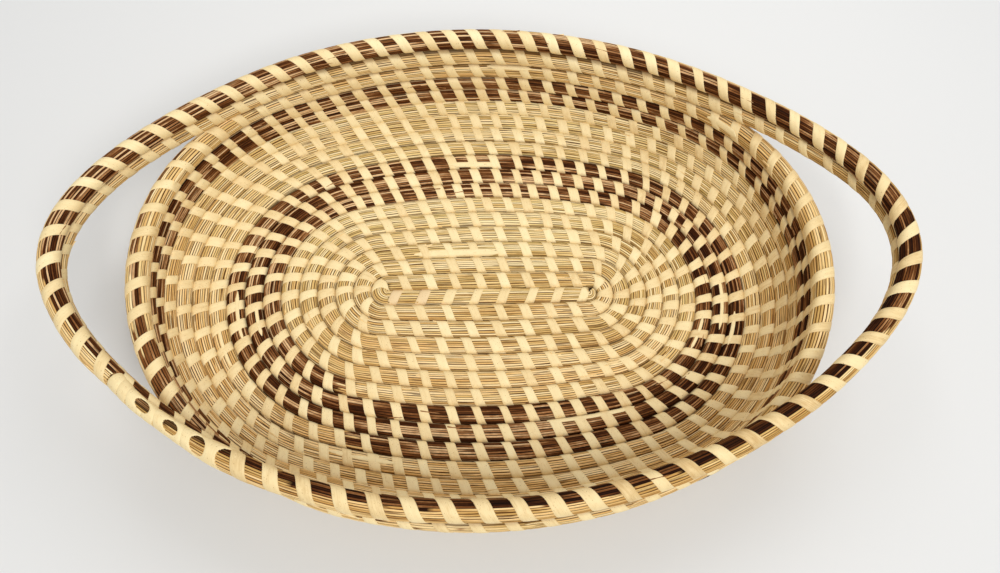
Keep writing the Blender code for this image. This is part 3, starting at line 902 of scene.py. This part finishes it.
# Loose ends of grass and the short points of every lying band: lengths, widths and lifts in
# millimetres, angles in degrees
strays = {
    "count": 170, "turns": (0.3, 17.8), "length": (4.0, 10.0), "width": (0.3, 0.55),
    "bodyAngles": (30.0, 150.0), "rimAngles": (40.0, 260.0), "lift": (0.15, 0.9),
    "turned": 14.0, "steps": 8, "point": 0.85, "pointPower": 30, "under": -0.06 * mm,
    "uvLength": 0.03, "tone": (0.5, 1.0), "green": 0.3, "rimFrom": 15.8, "firstLift": 0.1,
}


def lyingBand(ends, angles, width, lifts, marks):
    # a band along the coil that may rise at both ends, by cubes, each end drawn to a point
    share = np.linspace(0.0, 1.0, strays["steps"])
    place = ends[0] + (ends[1] - ends[0]) * share
    angle = np.radians(angles[0] + (angles[1] - angles[0]) * share)
    pointed = strays["point"] * np.abs(2 * share - 1) ** strays["pointPower"]
    width = width * (1 - pointed) * mm
    lift = (lifts[0] * (1 - share) ** 3 + lifts[1] * share**3) * mm + strays["under"]
    return bandGrid(place, angle, width, place / strays["uvLength"], marks, lift)


spliceGrids = []
for firstTurn, lastTurn, angle, width, firstLift, lastLift in splices:
    marks = {"tone": np.array([[spliceTone]]), "rosy": np.array([[0.0]])}
    ends = placeOf(np.array([firstTurn, lastTurn]))
    angles = (angle + spliceTurned, angle - spliceTurned)
    spliceGrids.append(lyingBand(ends, angles, width, (firstLift, lastLift), marks))
addMesh("spliced_strip_ends", spliceGrids, stripFinish)

strayGrids = []
for _ in range(strays["count"]):
    start = placeOf(dice.uniform(*strays["turns"]))
    turn = onLine(start, "turn")
    angle = dice.uniform(*strays["rimAngles" if turn > strays["rimFrom"] else "bodyAngles"])
    needle = float(needleShare(np.array([turn]), np.radians([[angle]]), 0.0)[0, 0])
    marks = {"tone": dice.uniform(*strays["tone"]), "needle": needle, "green": strays["green"]}
    marks = {key: np.array([[value]]) for key, value in {**marks, "line": 0.0}.items()}
    lifts = (strays["firstLift"], dice.uniform(*strays["lift"]))
    ends = (start, start + dice.uniform(*strays["length"]) * mm)
    angles = (angle, angle + dice.uniform(-1, 1) * strays["turned"])
    strayGrids.append(lyingBand(ends, angles, dice.uniform(*strays["width"]), lifts, marks))
addMesh("stray_grass_ends", strayGrids, strandFinish)
print("ends laid:", len(spliceGrids), "of strips,", len(strayGrids), "of grass")


# Floor, light and camera; the camera's focal length is in pixels of the frame's width
stage = {
    "floor": (0.76, 0.76, 0.75), "floorSpecular": 0.1, "floorRoughness": 0.9, "size": 4.0,
    "world": 0.45, "key": 23.5, "keySize": 0.9, "keyFrom": (0.32, -1.1, 1.65), "fill": 1.2,
    "fillSize": 0.4, "fillFrom": (0.08, 0.28, 0.55),
}
camera = {
    "focal": 900.65, "tilt": 1.13688, "away": 426.5 * mm, "target": (9.82 * mm, 5.50 * mm, 0.0),
    "roll": -0.08478, "yaw": -0.098, "frame": 1000.0, "sensor": 36.0, "clip": (0.01, 20.0),
}


def makeFloor():
    # a plain sheet under the basket
    half = stage["size"] / 2
    mesh = bpy.data.meshes.new("floor")
    corners = [(-half, -half, 0), (half, -half, 0), (half, half, 0), (-half, half, 0)]
    mesh.from_pydata(corners, [], [(0, 1, 2, 3)])
    finish = Finish("floor_paper")
    finish.colour((*stage["floor"], 1.0))
    finish.gloss(stage["floorSpecular"], stage["floorRoughness"])
    mesh.materials.append(finish.material)
    floor = bpy.data.objects.new("floor", mesh)
    bpy.context.scene.collection.objects.link(floor)


def makeLight(name, start, size, power):
    # a square lamp aimed at the basket
    data = bpy.data.lights.new(name, "AREA")
    data.size = size
    data.energy = power
    lamp = bpy.data.objects.new(name, data)
    lamp.location = start
    lamp.rotation_euler = (-Vector(start)).to_track_quat("-Z", "Y").to_euler()
    bpy.context.scene.collection.objects.link(lamp)


def makeWorld():
    # soft light from all round; what the camera sees beyond the floor is white
    world = bpy.data.worlds.new("studio")
    world.use_nodes = True
    bpy.context.scene.world = world
    nodes, links = world.node_tree.nodes, world.node_tree.links
    nodes.clear()
    path, seen = nodes.new("ShaderNodeLightPath"), nodes.new("ShaderNodeMath")
    light, white = nodes.new("ShaderNodeBackground"), nodes.new("ShaderNodeBackground")
    mix, out = nodes.new("ShaderNodeMixShader"), nodes.new("ShaderNodeOutputWorld")
    seen.operation = "MAXIMUM"
    for background in (light, white):
        background.inputs["Color"].default_value = (1.0, 1.0, 1.0, 1.0)
    light.inputs["Strength"].default_value = stage["world"]
    links.new(path.outputs["Is Camera Ray"], seen.inputs[0])
    links.new(path.outputs["Is Glossy Ray"], seen.inputs[1])
    links.new(seen.outputs[0], mix.inputs[0])
    links.new(light.outputs[0], mix.inputs[1])
    links.new(white.outputs[0], mix.inputs[2])
    links.new(mix.outputs[0], out.inputs["Surface"])


def makeCamera():
    # looks down at the target from its tilt, yaw and distance, then rolls
    tilt, yaw, roll = camera["tilt"], camera["yaw"], camera["roll"]
    right = Vector((math.cos(yaw), math.sin(yaw), 0.0))
    level = math.cos(tilt)
    ahead = Vector((-level * math.sin(yaw), level * math.cos(yaw), -math.sin(tilt)))
    up = right.cross(ahead)
    rolledRight = right * math.cos(roll) - up * math.sin(roll)
    rolledUp = right * math.sin(roll) + up * math.cos(roll)
    data = bpy.data.cameras.new("camera")
    data.sensor_width = camera["sensor"]
    data.lens = camera["focal"] / camera["frame"] * data.sensor_width
    data.clip_start, data.clip_end = camera["clip"]
    view = bpy.data.objects.new("camera", data)
    turned = Matrix((rolledRight, rolledUp, -ahead)).transposed().to_4x4()
    turned.translation = Vector(camera["target"]) - camera["away"] * ahead
    view.matrix_world = turned
    bpy.context.scene.collection.objects.link(view)
    bpy.context.scene.camera = view


makeFloor()
makeLight("key_lamp", stage["keyFrom"], stage["keySize"], stage["key"])
makeLight("back_lamp", stage["fillFrom"], stage["fillSize"], stage["fill"])
makeWorld()
makeCamera()
bpy.context.scene.view_settings.view_transform = "Standard"
print("stage set")

bpy.context.view_layer.update()
